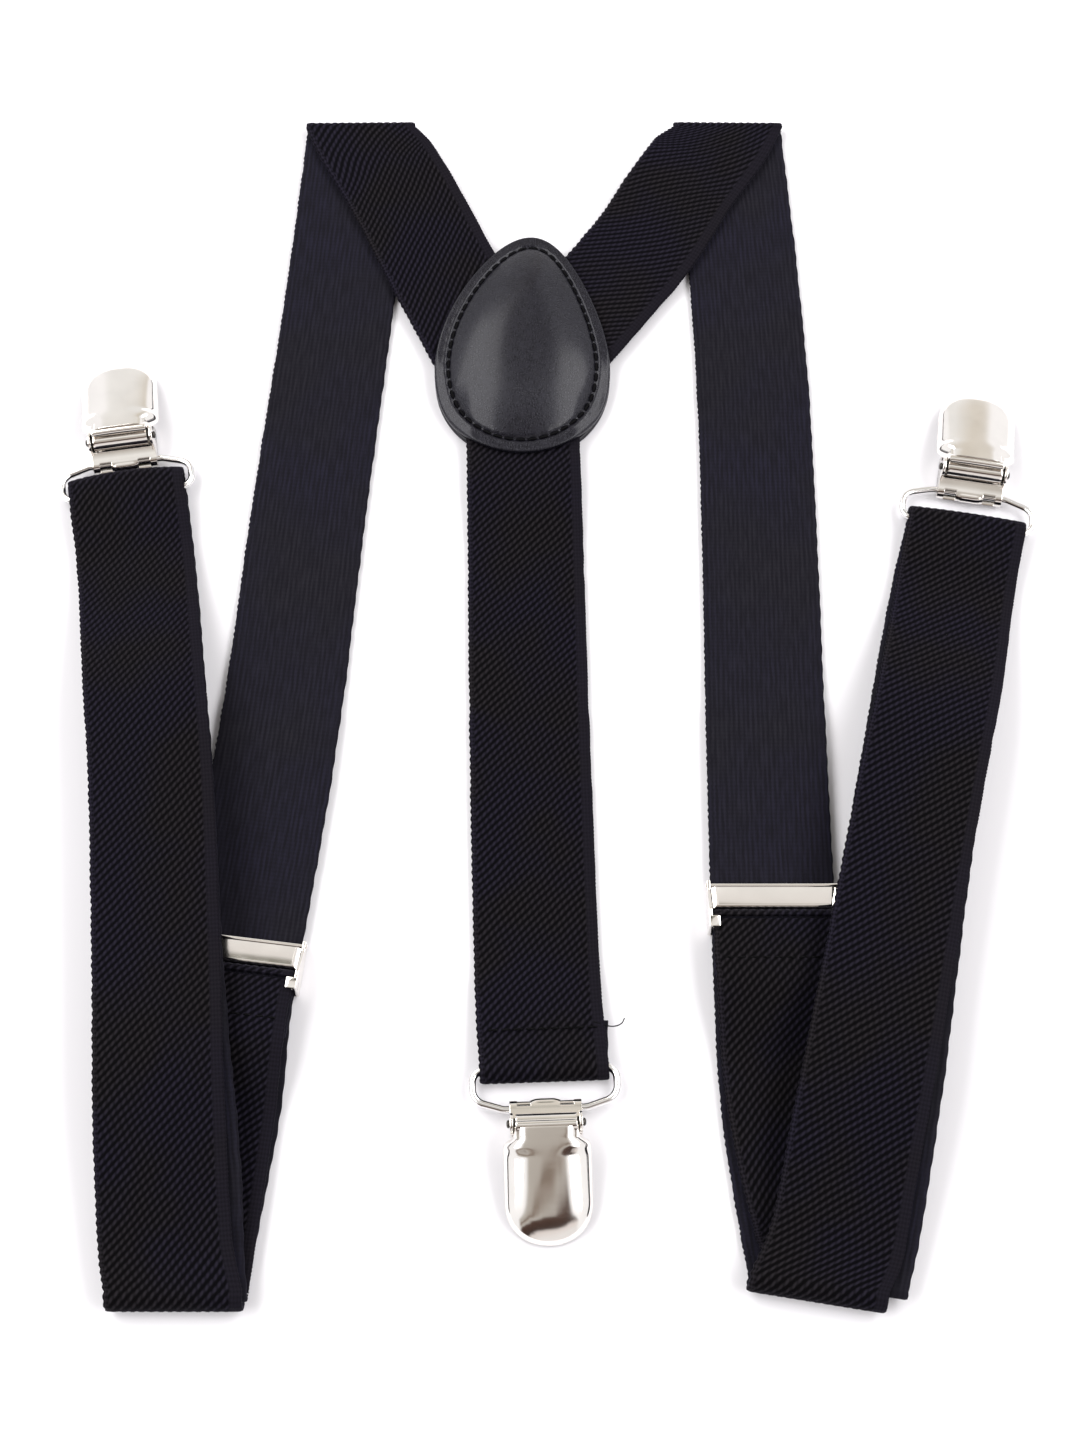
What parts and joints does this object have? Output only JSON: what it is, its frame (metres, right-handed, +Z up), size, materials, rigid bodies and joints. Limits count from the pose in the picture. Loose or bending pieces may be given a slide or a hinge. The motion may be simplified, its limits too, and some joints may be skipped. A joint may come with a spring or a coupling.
{
  "type": "suspenders",
  "caption": "Elastic Y-back suspenders laid flat: twill webbing straps sewn into a leather back patch, with sliding metal adjusters and hinged clips on wire loops.",
  "frame": {"origin": "centre of the bounding box as laid, on the surface that it lies on", "axes": "+X to the right of the layout, +Y towards the shoulder folds, +Z up from the surface"},
  "size_m": [0.2078, 0.2652, 0.0111],
  "materials": {
    "webbing": "matte elastic twill webbing",
    "leather": "glossy pebbled black leather",
    "thread": "waxed black thread",
    "nickel": "bright nickel plate",
    "steel_wire": "bright plated wire",
    "jaw_plastic": "natural moulded plastic"
  },
  "bodies": {
    "straps": {"patch_front": "leather", "patch_back": "leather", "patch_stitching": "thread", "back_strap_run": "webbing", "back_strap_hem": "webbing", "back_hem_stitching": "thread", "left_shoulder_run": "webbing", "left_shoulder_fold": "webbing", "left_front_run": "webbing", "left_outer_fold": "webbing", "left_clip_run_upper": "webbing", "left_clip_fold": "webbing", "left_clip_run_lower": "webbing", "left_inner_fold": "webbing", "left_return_run": "webbing", "right_shoulder_run": "webbing", "right_shoulder_fold": "webbing", "right_front_run": "webbing", "right_outer_fold": "webbing", "right_clip_run_upper": "webbing", "right_clip_fold": "webbing", "right_clip_run_lower": "webbing", "right_inner_fold": "webbing", "right_return_run": "webbing"},
    "back_wire": {"back_wire_loop": "steel_wire"},
    "back_clip": {"back_clip_base": "nickel", "back_clip_pin": "steel_wire", "back_jaw_insert": "jaw_plastic"},
    "back_cover": {"back_clip_cover": "nickel"},
    "left_wire": {"left_wire_loop": "steel_wire"},
    "left_clip": {"left_clip_base": "nickel", "left_clip_pin": "steel_wire", "left_jaw_insert": "jaw_plastic"},
    "left_cover": {"left_clip_cover": "nickel"},
    "right_wire": {"right_wire_loop": "steel_wire"},
    "right_clip": {"right_clip_base": "nickel", "right_clip_pin": "steel_wire", "right_jaw_insert": "jaw_plastic"},
    "right_cover": {"right_clip_cover": "nickel"},
    "left_adjuster": {"left_adjuster_frame": "nickel", "left_adjuster_crossbar": "steel_wire", "left_return_hem": "webbing", "left_return_stitching": "thread"},
    "left_lever": {"left_adjuster_lever": "nickel"},
    "right_adjuster": {"right_adjuster_frame": "nickel", "right_adjuster_crossbar": "steel_wire", "right_return_hem": "webbing", "right_return_stitching": "thread"},
    "right_lever": {"right_adjuster_lever": "nickel"}
  },
  "joints": [
    {"name": "back_wire_swivel", "type": "hinge", "parent": "straps", "child": "back_wire", "pos_m": [-0.00041, -0.08771, 0.00235], "axis": [-0.9994, -0.0349, 0], "range_deg": [0, 60]},
    {"name": "back_clip_swivel", "type": "hinge", "parent": "back_wire", "child": "back_clip", "pos_m": [-0.00015, -0.09521, 0.00195], "axis": [-0.9994, -0.0349, 0], "range_deg": [0, 45]},
    {"name": "back_cover_hinge", "type": "hinge", "parent": "back_clip", "child": "back_cover", "pos_m": [-0.00003, -0.09871, 0.0062], "axis": [-0.9994, -0.0349, 0], "range_deg": [0, 90]},
    {"name": "left_wire_swivel", "type": "hinge", "parent": "straps", "child": "left_wire", "pos_m": [-0.08911, 0.03589, 0.00235], "axis": [0.989, 0.1478, 0], "range_deg": [0, 60]},
    {"name": "left_clip_swivel", "type": "hinge", "parent": "left_wire", "child": "left_clip", "pos_m": [-0.09022, 0.0433, 0.00195], "axis": [0.989, 0.1478, 0], "range_deg": [0, 45]},
    {"name": "left_cover_hinge", "type": "hinge", "parent": "left_clip", "child": "left_cover", "pos_m": [-0.09074, 0.04677, 0.0062], "axis": [0.989, 0.1478, 0], "range_deg": [0, 90]},
    {"name": "right_wire_swivel", "type": "hinge", "parent": "straps", "child": "right_wire", "pos_m": [0.08909, 0.02819, 0.00235], "axis": [0.986, -0.1668, 0], "range_deg": [0, 60]},
    {"name": "right_clip_swivel", "type": "hinge", "parent": "right_wire", "child": "right_clip", "pos_m": [0.09034, 0.03558, 0.00195], "axis": [0.986, -0.1668, 0], "range_deg": [0, 45]},
    {"name": "right_cover_hinge", "type": "hinge", "parent": "right_clip", "child": "right_cover", "pos_m": [0.09092, 0.03903, 0.0062], "axis": [0.986, -0.1668, 0], "range_deg": [0, 90]},
    {"name": "left_adjuster_slide", "type": "slide", "parent": "straps", "child": "left_adjuster", "axis": [0.1219, 0.9925, 0], "range_m": [0, 0.025]},
    {"name": "left_lever_hinge", "type": "hinge", "parent": "left_adjuster", "child": "left_lever", "pos_m": [-0.05981, -0.06241, 0.0031], "axis": [-0.9925, 0.1219, 0], "range_deg": [0, 100]},
    {"name": "right_adjuster_slide", "type": "slide", "parent": "straps", "child": "right_adjuster", "axis": [0, 1, 0], "range_m": [0, 0.025]},
    {"name": "right_lever_hinge", "type": "hinge", "parent": "right_adjuster", "child": "right_lever", "pos_m": [0.04479, -0.05161, 0.0031], "axis": [-1, 0, 0], "range_deg": [0, 100]}
  ]
}
